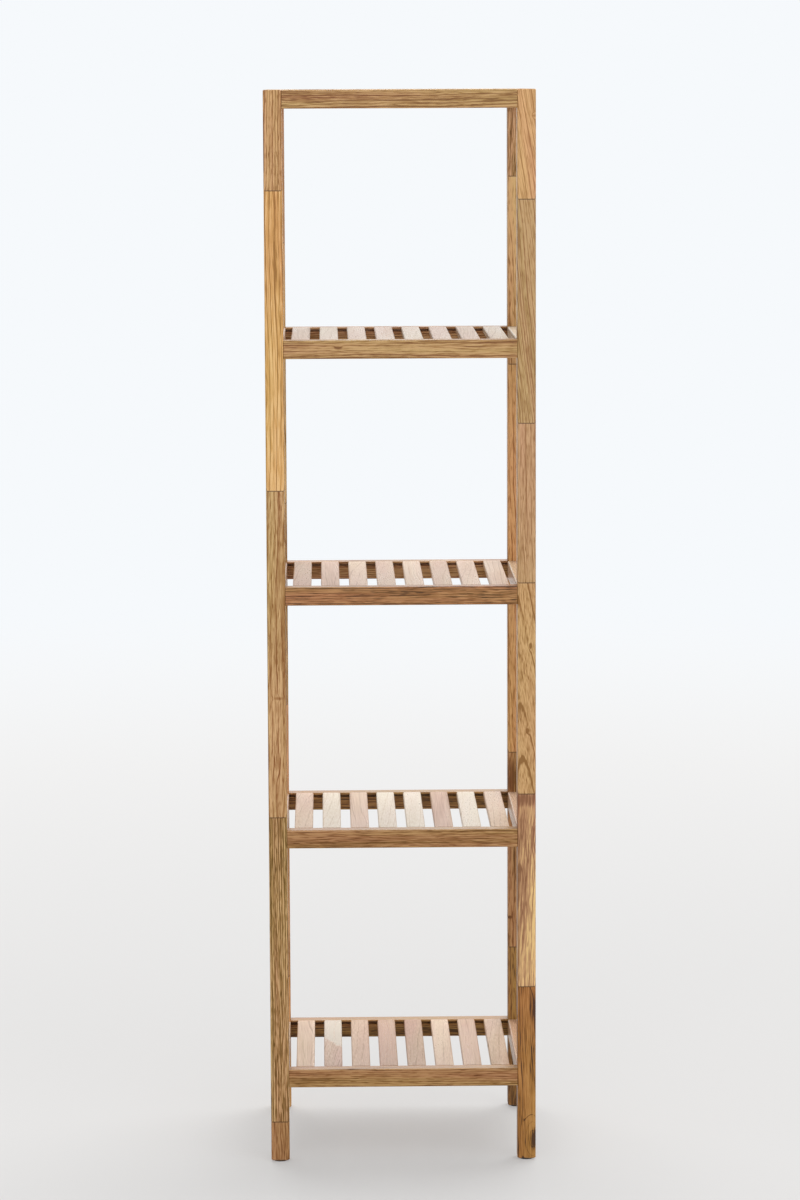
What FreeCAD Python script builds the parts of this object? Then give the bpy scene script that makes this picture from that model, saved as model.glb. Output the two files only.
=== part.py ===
"""Slatted bathroom shelf unit in solid hardwood, in millimetres.

Four square posts, each glued up from finger-jointed staves, stand at the corners. Rails are tenoned
into the posts at five levels. At the lower four, grooves in the front and rear rails hold the tongues
of the slats. The frame at the top is open.

X runs to the right, Y to the rear and Z up. The origin is on the floor, under the middle of the unit.
"""
import FreeCAD, Part
import math
import os

Vector = FreeCAD.Vector

# Posts
post_side = 24.0
post_edge_radius = 2.0
post_top_ease = 1.0
foot_chamfer = 1.5

# Frame, between the faces of the posts
clear_width = 300.0
clear_depth = 252.0
foot_length = 98.0
bay_height = 295.0
shelf_count = 4

# Rails
rail_height = 24.0
rail_thickness = 20.0
side_rail_thickness = 24.0
rail_edge_radius = 2.0

# Stub tenons of the rails, in the mortises of the posts
tenon_thickness = 8.0
tenon_height = 16.0
rail_tenon_length = 14.0
mortise_wall = 1.4
mortise_play = 0.1
mortise_end_play = 0.5

# Slats
slat_count = 8
slat_width = 24.0
slat_thickness = 8.0
slat_end_gap = 9.5
slat_edge_bevel = 1.0

# Tongues of the slats, in the grooves of the front and rear rails, with a shoulder above and below
tongue_thickness = 3.0
lower_shoulder = 2.0
groove_wall = 1.0
groove_play = 0.2
groove_end_play = 0.5
shoulder_gap = 0.2

# Finger joints between staves, and how high above the floor each post has them
finger_length = 10.0
finger_count = 6
front_left_joints = (54.0, 460.0, 887.0, 1272.0)
front_right_joints = (233.0, 489.0, 766.0, 973.0, 1260.0)
rear_left_joints = (187.0, 566.0, 842.0, 1195.0)
rear_right_joints = (226.0, 498.0, 1030.0, 1283.0)

# Rubber pads under the feet
pad_diameter = 19.0
pad_thickness = 2.0

# How far a cutter runs past the wood
cutter_run = 1.0

# Places and sizes that follow from those above
half_depth = clear_depth / 2 + post_side
post_center_x = (clear_width + post_side) / 2
post_center_y = (clear_depth + post_side) / 2
rail_center_y = half_depth - rail_thickness / 2
rail_inner_y = half_depth - rail_thickness
side_rail_center_x = (clear_width + side_rail_thickness) / 2
level_pitch = rail_height + bay_height
post_top = pad_thickness + foot_length + shelf_count * level_pitch + rail_height
slat_pitch = (clear_width - 2 * slat_end_gap - slat_width) / (slat_count - 1)
groove_depth = (rail_thickness - tenon_thickness) / 2 - groove_wall
tongue_length = groove_depth - groove_end_play
side_mortise_depth = post_side - (rail_thickness + tenon_thickness) / 2 - mortise_play - mortise_wall
side_tenon_length = side_mortise_depth - mortise_end_play

ALONG_X = FreeCAD.Rotation(Vector(1, 1, 1), 120)
ALONG_Y = FreeCAD.Rotation(Vector(1, 0, 0), -90)
SIDES = {"left": -1, "right": 1}
ENDS = {"front": -1, "rear": 1}


def rounded_outline(width, depth, radius, height=0.0):
    """Wire of a rectangle with rounded corners, centred on the Z axis at a height."""
    arcs = []
    for turn, (side_x, side_y) in enumerate(((1, 1), (-1, 1), (-1, -1), (1, -1))):
        center = Vector(side_x * (width / 2 - radius), side_y * (depth / 2 - radius), height)
        points = []
        for angle in (0, 45, 90):
            direction = math.radians(90 * turn + angle)
            points.append(center + Vector(math.cos(direction), math.sin(direction)) * radius)
        arcs.append(Part.Arc(*points))
    edges = []
    for arc, following in zip(arcs, arcs[1:] + arcs[:1]):
        edges.append(arc.toShape())
        edges.append(Part.LineSegment(arc.EndPoint, following.StartPoint).toShape())
    return Part.Wire(edges)


def bevelled_outline(width, depth, bevel):
    """Wire of a rectangle with bevelled corners, centred on the origin."""
    corners = []
    for side_x, side_y in ((1, 1), (-1, 1), (-1, -1), (1, -1)):
        beside = Vector(side_x * width / 2, side_y * (depth / 2 - bevel))
        above = Vector(side_x * (width / 2 - bevel), side_y * depth / 2)
        corners += [beside, above] if side_x == side_y else [above, beside]
    return Part.makePolygon(corners + corners[:1])


def bar(outline, length, start, turn):
    """A bar of one section, whose first end is centred on start and whose Z axis is turned."""
    solid = Part.Face(outline).extrude(Vector(0, 0, length))
    solid.Placement = FreeCAD.Placement(start, turn)
    return solid


def block(low, high):
    """A rectangular block between two corners, given in any order."""
    near = Vector(min(low.x, high.x), min(low.y, high.y), min(low.z, high.z))
    far = Vector(max(low.x, high.x), max(low.y, high.y), max(low.z, high.z))
    return Part.makeBox(far.x - near.x, far.y - near.y, far.z - near.z, near)


def level_bottom(level):
    """Height of the underside of a level's rails, counted from the lowest shelf."""
    return pad_thickness + foot_length + level * level_pitch


def rail_tenon(level, side, end, play=0.0, end_play=0.0):
    """The stub tenon at one end of a front or rear rail, or its mortise where play is given."""
    shoulder = Vector(side * clear_width / 2, end * rail_center_y, level_bottom(level) + rail_height / 2)
    reach_x = side * (rail_tenon_length + end_play)
    half_y = tenon_thickness / 2 + play
    half_z = tenon_height / 2 + play
    return block(shoulder + Vector(0, -half_y, -half_z), shoulder + Vector(reach_x, half_y, half_z))


def side_tenon(level, side, end, play=0.0, end_play=0.0):
    """The same for one end of a side rail."""
    middle_z = level_bottom(level) + rail_height / 2
    shoulder = Vector(side * side_rail_center_x, end * clear_depth / 2, middle_z)
    half_x = tenon_thickness / 2 + play
    reach_y = end * (side_tenon_length + end_play)
    half_z = tenon_height / 2 + play
    return block(shoulder + Vector(-half_x, 0, -half_z), shoulder + Vector(half_x, reach_y, half_z))


def cross_rail(level, end):
    """A front or rear rail. Those that carry slats have a groove along their inner face."""
    outline = rounded_outline(rail_thickness, rail_height, rail_edge_radius)
    start = Vector(-clear_width / 2, end * rail_center_y, level_bottom(level) + rail_height / 2)
    body = bar(outline, clear_width, start, ALONG_X)
    if level < shelf_count:
        reach_x = clear_width / 2 + cutter_run
        floor_z = level_bottom(level) + rail_height - slat_thickness + lower_shoulder
        roof_z = floor_z + tongue_thickness + groove_play
        back = Vector(-reach_x, end * (rail_inner_y + groove_depth), floor_z)
        mouth = Vector(reach_x, end * (rail_inner_y - cutter_run), roof_z)
        body = body.cut(block(back, mouth))
    return body.fuse([rail_tenon(level, side, end) for side in SIDES.values()])


def side_rail(level, side):
    """A side rail between a front and a rear post."""
    outline = rounded_outline(side_rail_thickness, rail_height, rail_edge_radius)
    start = Vector(side * side_rail_center_x, -clear_depth / 2, level_bottom(level) + rail_height / 2)
    body = bar(outline, clear_depth, start, ALONG_Y)
    return body.fuse([side_tenon(level, side, end) for end in ENDS.values()])


def slat(level, place):
    """A slat from the front to the rear rail, rebated at both ends to leave a tongue."""
    center_x = (place - (slat_count - 1) / 2) * slat_pitch
    top_z = level_bottom(level) + rail_height
    shoulder_y = rail_inner_y - shoulder_gap
    end_y = shoulder_y + tongue_length
    start = Vector(center_x, -end_y, top_z - slat_thickness / 2)
    outline = bevelled_outline(slat_width, slat_thickness, slat_edge_bevel)
    body = bar(outline, 2 * end_y, start, ALONG_Y)
    reach_x = slat_width / 2 + cutter_run
    underside_z = top_z - slat_thickness
    tongue_z = underside_z + lower_shoulder
    rebates = []
    for end in ENDS.values():
        inner = Vector(center_x - reach_x, end * shoulder_y, 0)
        outer = Vector(center_x + reach_x, end * (end_y + cutter_run), 0)
        for near_z, far_z in (
            (tongue_z, underside_z - cutter_run),
            (tongue_z + tongue_thickness, top_z + cutter_run),
        ):
            rebates.append(block(inner + Vector(0, 0, near_z), outer + Vector(0, 0, far_z)))
    return body.cut(rebates)


def post_blank(center):
    """A whole post with rounded edges, a chamfered foot and an eased top."""
    sections = []
    for height, inset in (
        (pad_thickness, foot_chamfer),
        (pad_thickness + foot_chamfer, 0),
        (post_top - post_top_ease, 0),
        (post_top, post_top_ease),
    ):
        side = post_side - 2 * inset
        sections.append(rounded_outline(side, side, post_edge_radius, height))
    solid = Part.makeLoft(sections, True, True)
    solid.translate(center)
    return solid


def finger_line(height):
    """Depth and height of the points of a finger joint, from the front face of a post to the rear."""
    width = post_side / finger_count
    line = [(-post_side / 2 - cutter_run, height)]
    for finger in range(finger_count):
        front = -post_side / 2 + finger * width
        line += [(front, height), (front + width / 2, height + finger_length)]
    line += [(post_side / 2, height), (post_side / 2 + cutter_run, height)]
    return line


def end_line(height):
    """The same for a plain end of the post."""
    return [(-post_side / 2 - cutter_run, height), (post_side / 2 + cutter_run, height)]


def post(side, end, joints):
    """The staves of one post, with the mortises of its rails."""
    center = Vector(side * post_center_x, end * post_center_y, 0)
    mortises = []
    for level in range(shelf_count + 1):
        mortises.append(rail_tenon(level, side, end, mortise_play, mortise_end_play))
        mortises.append(side_tenon(level, side, end, mortise_play, mortise_end_play))
    blank = post_blank(center).cut(mortises)
    lines = [finger_line(height) for height in joints if height + finger_length < post_top]
    lines = [end_line(pad_thickness - cutter_run)] + lines + [end_line(post_top + cutter_run)]
    staves = []
    reach_x = post_side / 2 + cutter_run
    for lower, upper in zip(lines, lines[1:]):
        corners = [center + Vector(-reach_x, y, z) for y, z in lower + upper[::-1] + lower[:1]]
        span = Part.Face(Part.makePolygon(corners)).extrude(Vector(2 * reach_x, 0, 0))
        staves += blank.common(span).Solids
    return Part.makeCompound(staves)


def save(name, shape):
    """Write one node of the unit."""
    shape.exportStep(os.path.join("parts", name + ".step"))


os.makedirs("parts", exist_ok=True)
save("front_left_post", post(SIDES["left"], ENDS["front"], front_left_joints))
save("front_right_post", post(SIDES["right"], ENDS["front"], front_right_joints))
save("rear_left_post", post(SIDES["left"], ENDS["rear"], rear_left_joints))
save("rear_right_post", post(SIDES["right"], ENDS["rear"], rear_right_joints))

for level in range(shelf_count + 1):
    level_name = f"shelf_{level + 1}" if level < shelf_count else "top"
    for end_name, end in ENDS.items():
        save(f"{level_name}_{end_name}_rail", cross_rail(level, end))
    for side_name, side in SIDES.items():
        save(f"{level_name}_{side_name}_rail", side_rail(level, side))

for level in range(shelf_count):
    for place in range(slat_count):
        save(f"shelf_{level + 1}_slat_{place + 1}", slat(level, place))

pads = []
for side in SIDES.values():
    for end in ENDS.values():
        foot = Vector(side * post_center_x, end * post_center_y, 0)
        pads.append(Part.makeCylinder(pad_diameter / 2, pad_thickness, foot))
save("foot_pads", Part.makeCompound(pads))
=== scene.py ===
import bpy
import math
import numpy as np
from mathutils import Euler, Matrix, Vector


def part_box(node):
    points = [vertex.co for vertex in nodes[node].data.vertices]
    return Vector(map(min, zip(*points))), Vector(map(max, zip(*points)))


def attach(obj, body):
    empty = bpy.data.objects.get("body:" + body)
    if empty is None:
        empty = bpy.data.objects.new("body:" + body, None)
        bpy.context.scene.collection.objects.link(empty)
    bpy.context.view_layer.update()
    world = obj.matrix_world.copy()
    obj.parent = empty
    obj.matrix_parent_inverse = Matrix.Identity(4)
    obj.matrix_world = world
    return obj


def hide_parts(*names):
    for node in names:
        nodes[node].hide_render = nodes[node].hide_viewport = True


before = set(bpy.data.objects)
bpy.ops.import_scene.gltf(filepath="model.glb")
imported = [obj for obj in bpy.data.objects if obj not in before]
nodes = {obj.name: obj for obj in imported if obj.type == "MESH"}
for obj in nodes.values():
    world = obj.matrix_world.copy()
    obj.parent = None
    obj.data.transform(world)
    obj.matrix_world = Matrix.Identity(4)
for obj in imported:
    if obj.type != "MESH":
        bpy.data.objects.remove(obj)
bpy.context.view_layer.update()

# Posts: four square legs of solid acacia, each glued up end to end from staves that are cut from
# different boards and finger-jointed. The fingers show on the sides, and on the front and rear a straight
# dark glue line crosses the post where the tone changes. The whole is sanded and oiled.
FINGER_PITCH = 0.004
FINGER_LENGTH = 0.010
GLUE_LINE = 0.0014  # in truth a few tenths of a millimetre, drawn wider so that it shows
GLUE = "#3f2812"
GLUE_COVER = 0.7

# The figure of the wood, drawn in millimetres. A span is one over the length of a change, across the grain
# and then along it. Those of uneven growth and of breaks in a line count rings across the grain.
MM = 1000
NOISE_LOW, NOISE_HIGH = 0.3, 0.7  # noise mostly stays between these
LATE_WOOD = 1.4
LATE_PEAK = 0.93
LATE_FALL = 0.95
LATE_DARKENING = 1.7
FAINTEST_YEAR = 0.15
WANDER = 9
WANDER_SPAN = Vector((1 / 40, 1 / 40, 1 / 220))
UNEVEN_SPAN = Vector((1 / 4, 1 / 400, 0))
UNEVEN_RINGS = 2.0
UNEVEN_TONE = 1.2
BREAK_SPAN = Vector((1.1, 1 / 70, 0))
FAINTEST_BREAK = 0.3
BREAK_END = 0.65
FIBRE_WIDTH = 1.3
PORE_SPAN = Vector((1 / 0.9, 1 / 0.9, 1 / 11))
PORE_EDGE = 0.46
PORE_TONE = -0.5
SOLID_TONE = 0.12
KNOT_PUSH = 3.0
KNOT_CORE = 0.3
KNOT_EDGE = 1.2
SAPWOOD_TONE = 0.55
SAPWOOD_BORDER = 0.04
# Painted highlight on top faces: millimetres under the top where it begins and where it is full
TOP_LIGHT_DEPTH = 1.6
TOP_LIGHT_FULL = 0.4
MEAN_TONE = 0.06
TONE_STOPS = (0.05, 0.35, 0.6, 0.95)
HUE_SWING = 0.009
ROUGH_DARK = 0.45
ROUGH_PALE = 0.27
GRAIN_TURN = {
    "x": Matrix.Rotation(-math.pi / 2, 3, "Y"),
    "y": Matrix.Rotation(math.pi / 2, 3, "X"),
    "z": Matrix.Identity(3),
}

# Tones of single boards, from the darkest line to the palest wood
HONEY = ("#93652b", "#bd8b4d", "#c99759", "#dcb078")
SAND = ("#9c6c3e", "#b38353", "#bc8d5d", "#d0a06f")
TAN = ("#875c2b", "#a87e4c", "#b38958", "#c79e6c")
ASH = ("#896136", "#9e7948", "#a48051", "#b89566")
ROSE = ("#8e633b", "#a37a52", "#ac8359", "#c0976f")
OLIVE = ("#7f511d", "#9e7643", "#aa8453", "#c6a270")
BARK = ("#754b22", "#976e3d", "#a27b4b", "#bb9463")
MOSS = ("#64430a", "#906b39", "#a27a4a", "#c39c6e")
CHESTNUT = ("#815436", "#a97b57", "#b3865f", "#dfb77e")
AMBER = ("#855320", "#a87541", "#b3804e", "#c79662")
RUSSET = ("#633b08", "#85592b", "#92673a", "#ae8456")
UMBER = ("#482a0c", "#8c5e22", "#9a6a2f", "#b07f44")
SEPIA = ("#50300c", "#815327", "#906035", "#ac7b4e")
# A dark tone, used darker still as painted shade on rear parts that stand in the shadow of the shelves
SHADED_TOBACCO = ("#4a2c0a", "#784f22", "#855b2b", "#9f7540")


def linear(code):
    """Linear colour of an sRGB hex code.

    Each channel is c / 12.92 where it is dark, and ((c + 0.055) / 1.055) ^ 2.4 elsewhere.
    """
    srgb = np.array([int(code[i:i + 2], 16) for i in (1, 3, 5)]) / 255
    line = np.where(srgb <= 0.04045, srgb / 12.92, ((srgb + 0.055) / 1.055) ** 2.4)
    return (*line.tolist(), 1.0)


def add(tree, kind, inputs=None, **settings):
    """Adds a shader node with its settings. Inputs, by name or number, are values or other nodes' outputs."""
    node = tree.nodes.new("ShaderNode" + kind)
    for key, value in settings.items():
        setattr(node, key, value)
    for socket, value in (inputs or {}).items():
        if isinstance(value, bpy.types.NodeSocket):
            tree.links.new(value, node.inputs[socket])
        else:
            node.inputs[socket].default_value = value
    return node


def reach_from(tree, place, length, x, run, half_x, half_run):
    """Distance from the middle of an ellipse, in X and along the given length, over its half sizes."""
    size = Vector((1 / half_x, 0, 0)) + length / half_run
    center = Vector((-x / half_x, 0, 0)) - length * run / half_run
    around = add(tree, "Mapping", {"Vector": place, "Location": center, "Scale": MM * size}).outputs[0]
    return add(tree, "VectorMath", {0: around}, operation="LENGTH").outputs["Value"]


def oiled_acacia(
    name, along, staves, joints=(), front=0.0, knots=(), sapwood=(), streak=2.1, strand=32, painted_top_light=0.0, top=0.0
):
    """Oiled acacia, sawn from a tree whose rings are worked out in space, so the figure runs round the edges.

    A ring is counted as the distance from the pith over the growth of a year, pushed about by slow noise.
    It darkens from its pale early wood to a thin late line. Long noise along the grain makes fibres, and
    short dashes make pores. All of them add up to one tone, which a ramp turns into a colour.

    A stave gives its tones, a point of its pith in millimetres, its lean in degrees, a shift along the
    grain, the millimetres grown in a year, how bold its lines are and how deep its pores. Joints are the
    heights at which staves meet, and front is where the zigzag of their fingers begins. A knot has a place
    and half sizes in millimetres, the tone that it adds and a count of rings that it pushes out: with none
    it is a stain, a pale smear or a patch of painted shade. A patch of sapwood has a place, half sizes and
    what the wood beside it adds to its tone. Streak is the strength of the fibres and strand their length
    in millimetres. Painted top light is the tone added just below the top, a painted highlight for the
    light that falls on the top faces.

    The eye sees thin dark growth lines, a fine streak along the grain, and a satin oil sheen.
    """
    material = bpy.data.materials.new(name)
    material.use_nodes = True
    tree = material.node_tree
    tree.nodes.clear()
    place = add(tree, "TexCoord").outputs["Object"]
    spots, ramps = [], []
    for tones, pith, lean, shift, *_ in staves:
        turn = Euler((math.radians(lean[0]), math.radians(lean[1]), 0)).to_matrix() @ GRAIN_TURN[along]
        start = Vector((0, 0, shift)) - turn @ Vector(pith)
        board = {"Vector": place, "Location": start, "Rotation": turn.to_euler(), "Scale": (MM, MM, MM)}
        spots.append(add(tree, "Mapping", board).outputs[0])
        ramp = add(tree, "ValToRGB")
        stops = ramp.color_ramp.elements
        stops[0].position, stops[1].position = TONE_STOPS[0], TONE_STOPS[-1]
        for position in TONE_STOPS[1:-1]:
            stops.new(position)
        for stop, tone in zip(stops, tones):
            stop.color = linear(tone)
        ramps.append(ramp)

    # Which stave a point is in, from its height above the zigzag of the fingers
    spot = spots[0]
    growth, bold, porous = staves[0][4:]
    turning = 1 - LATE_WOOD / growth
    above = []
    glue = 0.0
    if joints:
        axes = add(tree, "SeparateXYZ", {0: place}).outputs
        depth = add(tree, "Math", {0: axes["Y"], 1: front}, operation="SUBTRACT").outputs[0]
        finger = add(tree, "Math", {0: depth, 1: FINGER_PITCH / 2}, operation="PINGPONG").outputs[0]
        slope = -2 * FINGER_LENGTH / FINGER_PITCH
        level = add(tree, "Math", {0: finger, 1: slope, 2: axes["Z"]}, operation="MULTIPLY_ADD").outputs[0]
        for joint, following, stave in zip(joints, spots[1:], staves[1:]):
            next_growth, next_bold, next_porous = stave[4:]
            next_turning = 1 - LATE_WOOD / next_growth
            step = add(tree, "Math", {0: level, 1: joint}, operation="GREATER_THAN").outputs[0]
            above.append(step)
            spot = add(tree, "Mix", {0: step, 4: spot, 5: following}, data_type="VECTOR").outputs[1]
            growth = add(tree, "Mix", {0: step, 2: growth, 3: next_growth}).outputs[0]
            bold = add(tree, "Mix", {0: step, 2: bold, 3: next_bold}).outputs[0]
            porous = add(tree, "Mix", {0: step, 2: porous, 3: next_porous}).outputs[0]
            turning = add(tree, "Mix", {0: step, 2: turning, 3: next_turning}).outputs[0]
            line = add(tree, "Math", {0: level, 1: joint, 2: GLUE_LINE / 2}, operation="COMPARE").outputs[0]
            glue = add(tree, "Math", {0: glue, 1: line}, operation="MAXIMUM").outputs[0]

    # Rings round a pith that wanders by a few millimetres over a hand's length
    sway = add(tree, "VectorMath", {0: spot, 1: WANDER_SPAN}, operation="MULTIPLY").outputs[0]
    drift = add(tree, "TexNoise", {"Vector": sway, "Scale": 1.0, "Detail": 2.0}).outputs["Color"]
    wander = {0: drift, 1: (WANDER, WANDER, 0), 2: spot}
    bent = add(tree, "VectorMath", wander, operation="MULTIPLY_ADD").outputs[0]
    across = add(tree, "VectorMath", {0: bent, 1: (1, 1, 0)}, operation="MULTIPLY").outputs[0]
    radius = add(tree, "VectorMath", {0: across}, operation="LENGTH").outputs["Value"]
    ring = add(tree, "Math", {0: radius, 1: growth}, operation="DIVIDE").outputs[0]
    run = add(tree, "SeparateXYZ", {0: spot}).outputs["Z"]
    chart = add(tree, "CombineXYZ", {0: ring, 1: run}).outputs[0]
    slow = add(tree, "VectorMath", {0: chart, 1: UNEVEN_SPAN}, operation="MULTIPLY").outputs[0]
    uneven = add(tree, "TexNoise", {"Vector": slow, "Scale": 1.0, "Detail": 2.0}, noise_dimensions="2D")
    push = {0: uneven.outputs[0], 1: UNEVEN_RINGS, 2: ring}
    count = add(tree, "Math", push, operation="MULTIPLY_ADD").outputs[0]

    # Knots, stains, patches of painted shade and sapwood
    length = Vector((0, 1, 0)) if along == "y" else Vector((0, 0, 1))
    shades = []
    for *ellipse, shade, rings in knots:
        reach = reach_from(tree, place, length, *ellipse)
        core = {0: reach, 1: KNOT_CORE, 2: KNOT_EDGE, 3: shade, 4: 0.0}
        shades.append(add(tree, "MapRange", core).outputs[0])
        near = {0: reach, 1: 0.0, 2: KNOT_PUSH, 3: 1.0, 4: 0.0}
        near = add(tree, "MapRange", near, interpolation_type="SMOOTHERSTEP").outputs[0]
        count = add(tree, "Math", {0: near, 1: rings, 2: count}, operation="MULTIPLY_ADD").outputs[0]
    for *ellipse, beside in sapwood:
        reach = reach_from(tree, place, length, *ellipse)
        border = {0: reach, 1: 1 - SAPWOOD_BORDER, 2: 1 + SAPWOOD_BORDER, 3: SAPWOOD_TONE, 4: beside}
        shades.append(add(tree, "MapRange", border).outputs[0])

    # Late lines: no two years alike, and each line broken up along its run
    year = add(tree, "Math", {0: count}, operation="FLOOR").outputs[0]
    vigour = add(tree, "TexWhiteNoise", {"W": year}, noise_dimensions="1D").outputs[0]
    vigour = add(tree, "MapRange", {0: vigour, 3: FAINTEST_YEAR, 4: 1.0}).outputs[0]
    broken = add(tree, "VectorMath", {0: chart, 1: BREAK_SPAN}, operation="MULTIPLY").outputs[0]
    broken = add(tree, "TexNoise", {"Vector": broken, "Scale": 1.0, "Detail": 1.0}, noise_dimensions="2D")
    broken = {0: broken.outputs[0], 1: NOISE_LOW, 2: BREAK_END, 3: FAINTEST_BREAK, 4: 1.0}
    broken = add(tree, "MapRange", broken).outputs[0]
    season = add(tree, "Math", {0: count}, operation="FRACT").outputs[0]
    rise = {0: season, 1: turning, 2: LATE_PEAK}
    late = add(tree, "MapRange", rise, interpolation_type="SMOOTHSTEP").outputs[0]
    fall = add(tree, "MapRange", {0: season, 1: LATE_FALL, 2: 1.0, 3: 1.0, 4: 0.0}).outputs[0]
    for share in (fall, vigour, broken, bold):
        late = add(tree, "Math", {0: late, 1: share}, operation="MULTIPLY").outputs[0]

    # Fibres and pores are a tenth or two of a millimetre wide, and are drawn about a millimetre wide to show
    strands = (1 / FIBRE_WIDTH, 1 / FIBRE_WIDTH, 1 / strand)
    fibre = add(tree, "VectorMath", {0: bent, 1: strands}, operation="MULTIPLY").outputs[0]
    fibre = add(tree, "TexNoise", {"Vector": fibre, "Scale": 1.0, "Detail": 1.0}).outputs[0]
    pore = add(tree, "VectorMath", {0: spot, 1: PORE_SPAN}, operation="MULTIPLY").outputs[0]
    pore = add(tree, "TexNoise", {"Vector": pore, "Scale": 1.0, "Detail": 0.0}).outputs[0]
    pore = {0: pore, 1: NOISE_LOW, 2: PORE_EDGE, 3: PORE_TONE, 4: SOLID_TONE}
    pore = add(tree, "MapRange", pore).outputs[0]
    shades.append(add(tree, "Math", {0: pore, 1: porous}, operation="MULTIPLY").outputs[0])
    # Painted highlight: the top faces and the top millimetre or so of the sides are drawn paler for the light
    # that falls on them
    if painted_top_light:
        height = add(tree, "SeparateXYZ", {0: place}).outputs["Z"]
        top_light_tone = {0: height, 1: top - TOP_LIGHT_DEPTH / MM, 2: top - TOP_LIGHT_FULL / MM, 4: painted_top_light}
        shades.append(add(tree, "MapRange", top_light_tone).outputs[0])

    tone = {0: fibre, 1: streak, 2: MEAN_TONE - streak / 2}
    tone = add(tree, "Math", tone, operation="MULTIPLY_ADD").outputs[0]
    for share, weight in ((uneven.outputs[0], UNEVEN_TONE), (late, -LATE_DARKENING)):
        tone = add(tree, "Math", {0: share, 1: weight, 2: tone}, operation="MULTIPLY_ADD").outputs[0]
    for shade in shades:
        tone = add(tree, "Math", {0: tone, 1: shade}).outputs[0]

    for ramp in ramps:
        tree.links.new(tone, ramp.inputs[0])
    colour = ramps[0].outputs[0]
    for step, ramp in zip(above, ramps[1:]):
        colour = add(tree, "Mix", {0: step, 6: colour, 7: ramp.outputs[0]}, data_type="RGBA").outputs[2]
    hue = add(tree, "SeparateColor", {0: uneven.outputs["Color"]}).outputs[1]
    hue = {0: hue, 1: NOISE_LOW, 2: NOISE_HIGH, 3: 0.5 - HUE_SWING, 4: 0.5 + HUE_SWING}
    hue = add(tree, "MapRange", hue).outputs[0]
    colour = add(tree, "HueSaturation", {"Hue": hue, "Color": colour}).outputs[0]
    if joints:
        seam = add(tree, "Math", {0: glue, 1: GLUE_COVER}, operation="MULTIPLY").outputs[0]
        colour = add(tree, "Mix", {0: seam, 6: colour, 7: linear(GLUE)}, data_type="RGBA").outputs[2]
    rough = add(tree, "MapRange", {0: tone, 1: 0.0, 2: 1.0, 3: ROUGH_DARK, 4: ROUGH_PALE}).outputs[0]
    relief = add(tree, "Bump", {"Strength": 0.06, "Distance": 0.0003, "Height": fibre}).outputs[0]
    finish = {"Base Color": colour, "Roughness": rough, "Specular IOR Level": 0.3, "Normal": relief}
    shader = add(tree, "BsdfPrincipled", finish)
    add(tree, "OutputMaterial", {"Surface": shader.outputs[0]})
    return material


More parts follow.
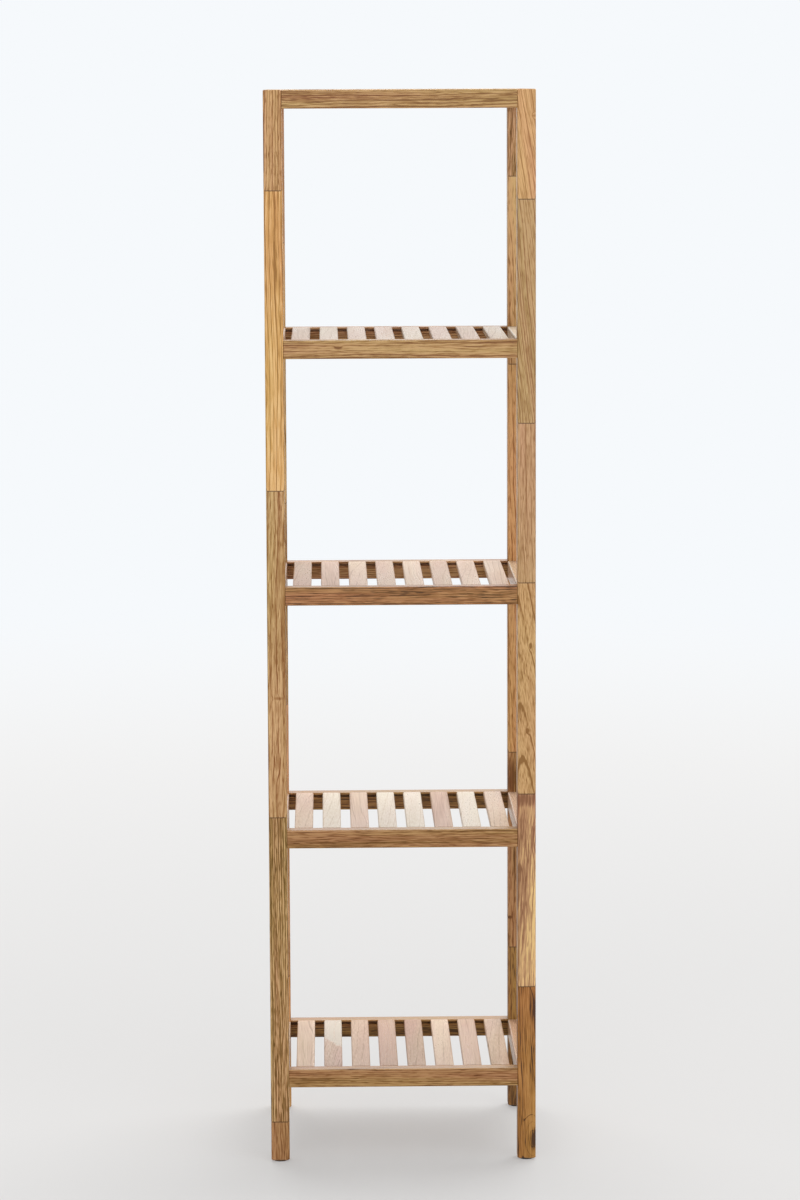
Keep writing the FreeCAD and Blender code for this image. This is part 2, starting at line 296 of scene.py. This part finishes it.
# Joint heights in metres, staves from the foot up, and knots
POSTS = {
    "front_left_post": (
        (0.054, 0.460, 0.887, 1.272),
        (
            (RUSSET, (-100, -200, 30), (0, 0), 0, 7, 0.3, 0.6),
            (MOSS, (-240, -130, 250), (0, 0.5), 700, 3, 1.4, 0.8),
            (OLIVE, (-110, -190, 650), (0.5, -0.6), 1400, 5, 1.0, 0.7),
            (HONEY, (-230, -145, 1080), (0, 0.6), 2100, 5, 1.5, 0.2),
            (TAN, (-200, -160, 1330), (0, -1.0), 2800, 3.5, 1.6, 1.1),
        ),
        ((-150, 660, 6, 180, -0.4, 0), (-160, 617, 6, 2.5, -0.6, 0.4), (-161, 531, 6, 10, -0.35, 0.5)),
    ),
    "front_right_post": (
        (0.233, 0.489, 0.766, 0.973, 1.260),
        (
            (UMBER, (230, -125, 80), (1, 1), 300, 12, 0.7, 0.3),
            (CHESTNUT, (110, -150, 360), (0, -2), 900, 5, 0.75, 0.5),
            (TAN, (170.4, -150, 438), (-5.7, 5.1), 1500, 7.5, 1.3, 0.5),
            (ROSE, (90, -140, 870), (0, 0.8), 2200, 6, 0.9, 0.9),
            (ASH, (250, -140, 1100), (0, 6), 2900, 3.5, 1.5, 0.9),
            (SAND, (80, -140, 1330), (0, 9), 3600, 6, 0.8, 0.7),
        ),
        (
            (172, 28, 7, 17, -1.2, 3.0),
            (172, 206, 6, 24, -0.8, 0.5),
            (170, 125, 5, 34, -0.4, 0),
            (152, 70, 5, 60, -0.25, 0),
            (153, 391, 2.4, 6, -0.9, 0.3),
            (178, 300, 14, 110, 0.6, 0),
            (152, 360, 13, 120, -0.25, 0),
            (182, 432, 12, 14, -0.1, 2.0),
            (156, 482, 22, 9, -0.55, 0),
            (163, 572, 2.2, 4, -1.8, 0.2),
            (167, 684, 2.2, 4, -1.8, 0.2),
            (172.5, 1366, 4, 2, -0.6, 0.5),
        ),
    ),
    "rear_left_post": (
        (0.187, 0.566, 0.842, 1.195),
        (
            (HONEY, (-230, 60, 90), (0, 1), 500, 6, 0.6, 0.5),
            (SAND, (-70, 100, 380), (0, -1), 1100, 5, 0.6, 0.5),
            (OLIVE, (-240, 180, 700), (0, 1), 1800, 6, 0.7, 0.6),
            (TAN, (-90, 60, 1000), (0, 2), 2500, 5, 0.7, 0.6),
            (ROSE, (-230, 120, 1300), (0, -1), 3100, 6, 0.6, 0.6),
        ),
        (),
    ),
    "rear_right_post": (
        (0.226, 0.498, 1.030, 1.283),
        (
            # The lowest stave is a dark board drawn darker still, partly painted shade for the shadow under
            # the lowest shelf
            (SHADED_TOBACCO, (230, 60, 120), (0, 1), 450, 6, 0.8, 0.8),
            (RUSSET, (90, 130, 360), (0, -1), 1300, 5, 1.0, 0.9),
            (AMBER, (240, 110, 760), (0, 1.2), 1700, 6, 1.0, 1.0),
            (TAN, (80, 70, 1150), (0, 3), 2400, 6, 0.9, 0.9),
            (MOSS, (230, 120, 1340), (0, -2), 3200, 5, 0.7, 0.8),
        ),
        (
            (158, 462, 12, 24, -0.7, 1.0),
            (151, 268, 5, 2.5, -1.2, 0),
            (152, 320, 14, 90, 0.2, 0),
            # Painted shade: the foot below the lowest shelf is darkened for that shelf's shadow
            (157, 30, 30, 70, -0.35, 0),
        ),
    ),
}
for name, (joints, staves, knots) in POSTS.items():
    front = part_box(name)[0].y
    wood = oiled_acacia("oiled_acacia_" + name, "z", staves, joints, front, knots)
    nodes[name].data.materials[0] = wood

# Front and rear rails: bars of the same acacia between the posts at five levels, with their faces flush
# with the posts and their edges rounded. Stub tenons at their ends are glued into mortises in the posts.
# The tops of the lower ones are drawn paler just below the top, a painted highlight for the light that falls
# on them, which is the second value here.
RAIL_FIGURE = (3, 1.0, 0.7)  # growth of a year, boldness of the lines and depth of the pores
CROSS_RAILS = {
    "top_front_rail": (BARK, 0.0),
    "shelf_4_front_rail": (BARK, 0.0),
    "shelf_3_front_rail": (SEPIA, 0.3),
    "shelf_2_front_rail": (RUSSET, 0.6),
    "shelf_1_front_rail": (RUSSET, 0.6),
    # The rear rails are drawn in darker tones than the front ones, which is painted shade: they are seen only
    # in the shadow between the slats
    "top_rear_rail": (OLIVE, 0.0),
    "shelf_4_rear_rail": (RUSSET, 0.0),
    "shelf_3_rear_rail": (RUSSET, 0.3),
    "shelf_2_rear_rail": (SHADED_TOBACCO, 0.6),
    "shelf_1_rear_rail": (SHADED_TOBACCO, 0.8),
}
RAIL_KNOTS = {"shelf_4_front_rail": [(-80, 1071, 5, 2.4, -0.9, 0.8)]}
PITH_BEHIND = 20
PITH_BELOW = 50
PITH_STEP = 7
BOARD_STEP = 940
for place, (name, (tones, painted_top_light)) in enumerate(CROSS_RAILS.items()):
    low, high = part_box(name)
    middle = (low + high) / 2 * MM
    # The pith lies a step further below each rail than below the one before, so no two have the same figure
    pith = (0, middle.y + PITH_BEHIND, middle.z - PITH_BELOW - PITH_STEP * place)
    lean = (0, 0.8 - 0.4 * (place % 5))
    stave = (tones, pith, lean, BOARD_STEP * place, *RAIL_FIGURE)
    knots = RAIL_KNOTS.get(name, ())
    wood = oiled_acacia("oiled_acacia_" + name, "x", [stave], knots=knots, painted_top_light=painted_top_light, top=high.z)
    nodes[name].data.materials[0] = wood

# Side rails: thicker bars of the same wood that tie each front post to the rear one, five to a side.
# They stand flush with the outer faces of the posts and are tenoned like the other rails.
SIDE_RAIL_FIGURE = (5, 0.7, 0.4)
SIDE_PITH_SHARE = 0.6
SIDE_PITH_BELOW = 60
SIDE_LEAN = 0.7
# Pale tones, partly painted light: on the side rails at the shelves they stand for the light on their tops
# and on the inner faces of the right-hand rails, and on the slats for the light and sheen on their tops
BLUSH = ("#977355", "#a98565", "#b28e6e", "#bf9e7f")
CREAM = ("#a38367", "#b9987b", "#c0a083", "#ccae92")
CLAY = ("#886040", "#9b7351", "#a37b59", "#b18b6a")
IVORY = ("#b6a38c", "#c6b49c", "#cbbba6", "#d6c8b5")
for level, (left, right, painted_top_light) in {
    "top": (OLIVE, TAN, 0.0),
    "shelf_4": (CREAM, IVORY, 0.0),
    "shelf_3": (CLAY, CREAM, 0.3),
    "shelf_2": (BLUSH, CREAM, 0.5),
    "shelf_1": (CLAY, BLUSH, 0.5),
}.items():
    for side, tones in (("left", left), ("right", right)):
        name = f"{level}_{side}_rail"
        low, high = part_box(name)
        middle = (low + high) / 2 * MM
        # The pith lies below the rail, a share of its way from the middle of the unit
        pith = (middle.x * SIDE_PITH_SHARE, 0, middle.z - SIDE_PITH_BELOW)
        shift = 3 * middle.z + middle.x
        stave = (tones, pith, (0, SIDE_LEAN), shift, *SIDE_RAIL_FIGURE)
        wood = oiled_acacia("oiled_acacia_" + name, "y", [stave], painted_top_light=painted_top_light, top=high.z)
        nodes[name].data.materials[0] = wood

# Slats: eight thin boards to a shelf, from the front rail to the rear one, with bevelled edges. A tongue
# at each end sits in the groove of the rail. They are drawn in paler, pinker tones than the frame, which
# is partly painted light for the top light and grazing sheen on them. Two of them have sapwood left on.
SLAT_FIGURE = (7, 0.5, 0.1)
SLAT_STREAK = 1.3
SLAT_STRAND = 130
SLAT_PITH_ASIDE = 30
SLAT_PITH_STEP = 9
SLAT_PITH_BELOW = 40
SLAT_LEAN = 4.5
SLAT_SHIFT = 400
SHELF_SHIFT = 3700
SHELL = ("#8a6f58", "#9d7f68", "#a5876f", "#b39a84")
PEARL = ("#8f7a66", "#a38e76", "#ab967e", "#b9a691")
TWO_TONE = ("#927058", "#ab876e", "#b49077", "#c3b3a1")
SHELF_TONES = {
    4: (SHELL, PEARL, SHELL, SHELL, PEARL, SHELL, SHELL, PEARL),
    3: (CLAY, BLUSH, CREAM, BLUSH, CREAM, BLUSH, CREAM, CREAM),
    2: (CREAM, IVORY, CREAM, IVORY, IVORY, BLUSH, IVORY, CREAM),
    1: (CREAM, TWO_TONE, BLUSH, CLAY, CLAY, CREAM, BLUSH, BLUSH),
}
SAPWOOD = {
    "shelf_1_slat_1": [(13, 0, 4, 300, 0.0)],
    "shelf_1_slat_2": [(40, 130, 60, 172, -0.25)],
}
for shelf, row in SHELF_TONES.items():
    for place, tones in enumerate(row):
        name = f"shelf_{shelf}_slat_{place + 1}"
        low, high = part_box(name)
        middle = (low + high) / 2 * MM
        # The pith lies below the slat and to one side, a step further off for each slat to the right
        side = 1 if (place + shelf) % 3 else -1
        aside = side * (SLAT_PITH_ASIDE + SLAT_PITH_STEP * place)
        pith = (middle.x + aside, 0, middle.z - SLAT_PITH_BELOW)
        lean = (SLAT_LEAN * ((place + shelf) % 3 - 1), 1.5 - 0.4 * place)
        stave = (tones, pith, lean, SLAT_SHIFT * place + SHELF_SHIFT * shelf, *SLAT_FIGURE)
        sapwood = [(middle.x + off, *patch) for off, *patch in SAPWOOD.get(name, ())]
        wood = oiled_acacia(
            "oiled_acacia_" + name, "y", [stave], sapwood=sapwood, streak=SLAT_STREAK, strand=SLAT_STRAND
        )
        nodes[name].data.materials[0] = wood

# Foot pads: a round pad of black rubber pressed under each post, with a rounded lower rim, which lifts
# the end grain off a wet floor.
PAD_RADIUS = 0.0095
PAD_THICKNESS = 0.002
PAD_RIM = 0.0008
PAD_RIM_POINTS = 7
PAD_AROUND = 48
DISH_DEPTH = 0.0006
DISH_RADIUS = 0.0070
DISH_FLOOR_RADIUS = 0.0062
PIT_SIZE = 0.0008
RUBBER_STOPS = ((0.35, "#1c1916"), (0.7, "#38332d"))


def turned(profile, around, centers):
    """Solids of revolution: each point (r, z) of the profile becomes a ring r * (cos a, sin a) at height z.

    The profile starts and ends on the axis, where its two points are poles joined to the next ring.
    """
    angle = np.arange(around) * 2 * np.pi / around
    rings = np.stack(
        [
            profile[1:-1, :1] * np.cos(angle),
            profile[1:-1, :1] * np.sin(angle),
            np.repeat(profile[1:-1, 1:], around, axis=1),
        ],
        axis=-1,
    ).reshape(-1, 3)
    poles = np.array([[0, 0, profile[0, 1]], [0, 0, profile[-1, 1]]])
    one = np.concatenate([rings, poles])
    index = np.arange(len(rings)).reshape(-1, around)
    after = np.roll(index, -1, axis=1)
    quads = np.stack([index[:-1], after[:-1], after[1:], index[1:]], axis=-1).reshape(-1, 4)
    first = np.stack([np.full(around, len(rings)), after[0], index[0]], axis=-1)
    last = np.stack([np.full(around, len(rings) + 1), index[-1], after[-1]], axis=-1)
    points = np.concatenate([one + center for center in centers])
    faces = []
    for copy in range(len(centers)):
        for group in (quads, first, last):
            faces += (group + copy * len(one)).tolist()
    return points, faces


bend = np.linspace(-np.pi / 2, 0, PAD_RIM_POINTS)
rim = np.stack([PAD_RADIUS - PAD_RIM + PAD_RIM * np.cos(bend), PAD_RIM + PAD_RIM * np.sin(bend)], axis=-1)
dish = np.array([[0, DISH_DEPTH], [DISH_FLOOR_RADIUS, DISH_DEPTH], [DISH_RADIUS, 0]])
crown = np.array([[PAD_RADIUS, PAD_THICKNESS], [0, PAD_THICKNESS]])
pad_profile = np.concatenate([dish, rim, crown])
pad_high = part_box("foot_pads")[1]
foot = np.array([pad_high.x - PAD_RADIUS, pad_high.y - PAD_RADIUS, 0])
pad_centers = [foot * (side_x, side_y, 1) for side_y in (-1, 1) for side_x in (-1, 1)]
pad_points, pad_faces = turned(pad_profile, PAD_AROUND, pad_centers)
pad_mesh = bpy.data.meshes.new("rubber_foot_pads")
pad_mesh.from_pydata(pad_points.tolist(), [], pad_faces)
pad_mesh.polygons.foreach_set("use_smooth", np.ones(len(pad_faces), bool))
pads = bpy.data.objects.new("rubber_foot_pads", pad_mesh)
bpy.context.collection.objects.link(pads)

# Moulded rubber: near black and dull, with a pitted skin from the mould. Its colour is darker in the pits
# and paler where it stands proud, which is painted shade and highlight. The pits are finer in truth, and
# are drawn 0.8 mm wide so that they show.
rubber = bpy.data.materials.new("moulded_rubber")
rubber.use_nodes = True
tree = rubber.node_tree
tree.nodes.clear()
place = add(tree, "TexCoord").outputs["Object"]
pits = add(tree, "TexNoise", {"Vector": place, "Scale": 1 / PIT_SIZE, "Detail": 3.0}).outputs[0]
pit_shaded_skin = add(tree, "ValToRGB", {0: pits})
for stop, (position, code) in zip(pit_shaded_skin.color_ramp.elements, RUBBER_STOPS):
    stop.position = position
    stop.color = linear(code)
relief = add(tree, "Bump", {"Strength": 0.3, "Distance": 0.0002, "Height": pits}).outputs[0]
finish = {"Base Color": pit_shaded_skin.outputs[0], "Roughness": 0.75, "IOR": 1.52, "Normal": relief}
shader = add(tree, "BsdfPrincipled", finish)
add(tree, "OutputMaterial", {"Surface": shader.outputs[0]})
pad_mesh.materials.append(rubber)
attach(pads, "root")
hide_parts("foot_pads")

# Studio: a pale floor that keeps the unit's shadow and is drawn a little greyer near the unit as painted
# shade, a white surround, a large soft lamp overhead and another in front, and a long lens level with the
# top of the unit.
BACKDROP = "#f6f9fc"
FLOOR = "#bebdbc"
FLOOR_GLOW = "#f7f7f7"
FLOOR_HALF = 5.5
FADE_FROM, FADE_TO = 0.2, 5.0
FADE_START = 0.35
GLOW_FROM, GLOW_TO = 3.0, 5.4
FILL = 0.5
floor_corners = [(FLOOR_HALF * x, FLOOR_HALF * y, 0) for x, y in ((-1, -1), (1, -1), (1, 1), (-1, 1))]
floor_mesh = bpy.data.meshes.new("floor")
floor_mesh.from_pydata(floor_corners, [], [(0, 1, 2, 3)])
floor = bpy.data.objects.new("floor", floor_mesh)
bpy.context.collection.objects.link(floor)

# Matt paper that takes the unit's shadow, drawn greyer near the unit as painted shade and fading to a
# glow as white as the surround far away; some glow near the unit is painted light that thins that shadow
paper = bpy.data.materials.new("matt_studio_paper")
paper.use_nodes = True
tree = paper.node_tree
tree.nodes.clear()
place = add(tree, "TexCoord").outputs["Object"]
away = add(tree, "VectorMath", {0: place}, operation="LENGTH").outputs["Value"]
# The share of glow: a part near the unit, painted light on its shadow, and all of it far away
fade = {0: away, 1: FADE_FROM, 2: FADE_TO, 3: FADE_START}
fade = add(tree, "MapRange", fade, interpolation_type="SMOOTHSTEP").outputs[0]
near = add(tree, "BsdfDiffuse", {"Color": linear(FLOOR)}).outputs[0]
end = add(tree, "MapRange", {0: away, 1: GLOW_FROM, 2: GLOW_TO}).outputs[0]
glow = add(tree, "Mix", {0: end, 6: linear(FLOOR_GLOW), 7: linear(BACKDROP)}, data_type="RGBA").outputs[2]
far = add(tree, "Emission", {"Color": glow, "Strength": 1.0}).outputs[0]
mixed = add(tree, "MixShader", {0: fade, 1: near, 2: far}).outputs[0]
add(tree, "OutputMaterial", {"Surface": mixed})
floor_mesh.materials.append(paper)

# The surround is white to the eye and in reflections, and lights the unit with half that strength
world = bpy.data.worlds.new("white_surround")
bpy.context.scene.world = world
world.use_nodes = True
tree = world.node_tree
tree.nodes.clear()
path = add(tree, "LightPath").outputs
shown = path["Is Camera Ray"]
for ray in ("Is Glossy Ray", "Is Transmission Ray"):
    shown = add(tree, "Math", {0: shown, 1: path[ray]}, operation="MAXIMUM").outputs[0]
fill = add(tree, "Background", {"Color": linear("#ffffff"), "Strength": FILL}).outputs[0]
white = add(tree, "Background", {"Color": linear(BACKDROP), "Strength": 1.0}).outputs[0]
mixed = add(tree, "MixShader", {0: shown, 1: fill, 2: white}).outputs[0]
add(tree, "OutputWorld", {"Surface": mixed})

# Each lamp's direction, strength and width in degrees
for name, source, level, spread in (
    ("overhead_softbox", (0.15, 0.7, 1.0), 2.9, 63),
    ("front_softbox", (0.25, -1.0, 0.2), 1.97, 100),
):
    lamp = bpy.data.lights.new(name, "SUN")
    lamp.energy = level
    lamp.angle = math.radians(spread)
    lamp_stand = bpy.data.objects.new(name, lamp)
    lamp_stand.rotation_euler = Vector(source).to_track_quat("Z", "Y").to_euler()
    bpy.context.collection.objects.link(lamp_stand)

# The camera's angles in radians, down, to the right and about its axis, its place in metres, and its lens
# in millimetres
PITCH, YAW, ROLL = 0.1280, 0.0184, -0.0041
CAMERA_PLACE = (-0.0967, -5.3021, 1.4080)
SENSOR_WIDTH = 36
FOCAL_LENGTH = 120.53
forward = Vector((math.sin(YAW) * math.cos(PITCH), math.cos(YAW) * math.cos(PITCH), -math.sin(PITCH)))
right = Vector((math.cos(YAW), -math.sin(YAW), 0))
up = right.cross(forward)
turned_right = right * math.cos(ROLL) + up * math.sin(ROLL)
turned_up = up * math.cos(ROLL) - right * math.sin(ROLL)
lens = bpy.data.cameras.new("long_lens")
lens.sensor_width = SENSOR_WIDTH
lens.lens = FOCAL_LENGTH
camera = bpy.data.objects.new("long_lens", lens)
camera.matrix_world = Matrix((turned_right, turned_up, -forward)).transposed().to_4x4()
camera.location = CAMERA_PLACE
bpy.context.collection.objects.link(camera)
bpy.context.scene.camera = camera
bpy.context.scene.view_settings.view_transform = "Standard"
